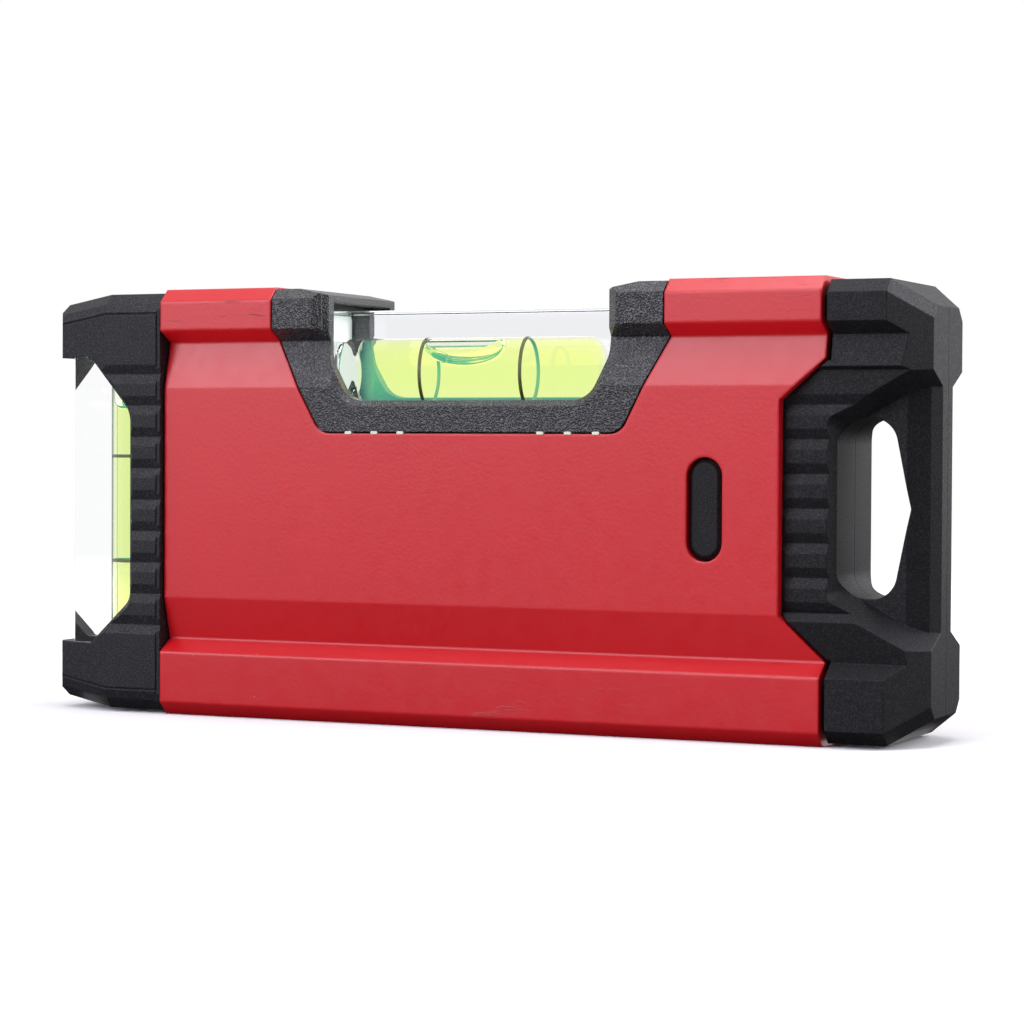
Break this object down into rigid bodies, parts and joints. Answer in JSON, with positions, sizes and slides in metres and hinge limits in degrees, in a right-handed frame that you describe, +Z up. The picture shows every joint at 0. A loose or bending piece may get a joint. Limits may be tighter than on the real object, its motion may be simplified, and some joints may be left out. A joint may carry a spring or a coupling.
{
  "type": "spirit level",
  "caption": "Pocket box level with a coated aluminium tube, moulded end caps, a hand loop, and block vials for level and plumb.",
  "frame": {"origin": "middle of the level's footprint, on the plane it stands on", "axes": "+X along the level towards the hand loop, +Y through its thickness towards the back, +Z up"},
  "size_m": [0.1, 0.0182, 0.046],
  "materials": {
    "red_coat": "satin",
    "black_plastic": "matte",
    "clear_acrylic": "gloss",
    "vial_liquid": "gloss",
    "bubble_air": "gloss",
    "ring_ink": "satin",
    "adhesive": "satin",
    "magnet_nickel": "satin"
  },
  "bodies": {
    "level": {"profile_body": "red_coat", "vial_holder": "black_plastic", "level_vial_retainer": "black_plastic", "holder_adhesive": "adhesive", "level_vial_block": "clear_acrylic", "plumb_vial_block": "clear_acrylic", "level_vial_plug": "clear_acrylic", "plumb_vial_plug": "clear_acrylic", "level_ring_left": "ring_ink", "level_ring_right": "ring_ink", "plumb_ring_upper": "ring_ink", "plumb_ring_lower": "ring_ink", "level_liquid": "vial_liquid", "plumb_liquid": "vial_liquid", "plumb_cap": "black_plastic", "plumb_vial_retainer": "black_plastic", "handle_cap": "black_plastic", "magnet_left": "magnet_nickel", "magnet_right": "magnet_nickel"},
    "level_bubble": {"level_bubble": "bubble_air"},
    "plumb_bubble": {"plumb_bubble": "bubble_air"}
  },
  "joints": [
    {"name": "level_bubble_travel", "type": "slide", "parent": "level", "child": "level_bubble", "axis": [1, 0, 0], "range_m": [-0.0066, 0.01], "stiffness_N_per_m": 0.05},
    {"name": "plumb_bubble_travel", "type": "slide", "parent": "level", "child": "plumb_bubble", "axis": [0, 0, 1], "range_m": [-0.0238, 0], "stiffness_N_per_m": 0.5, "springref_m": 0.02}
  ]
}
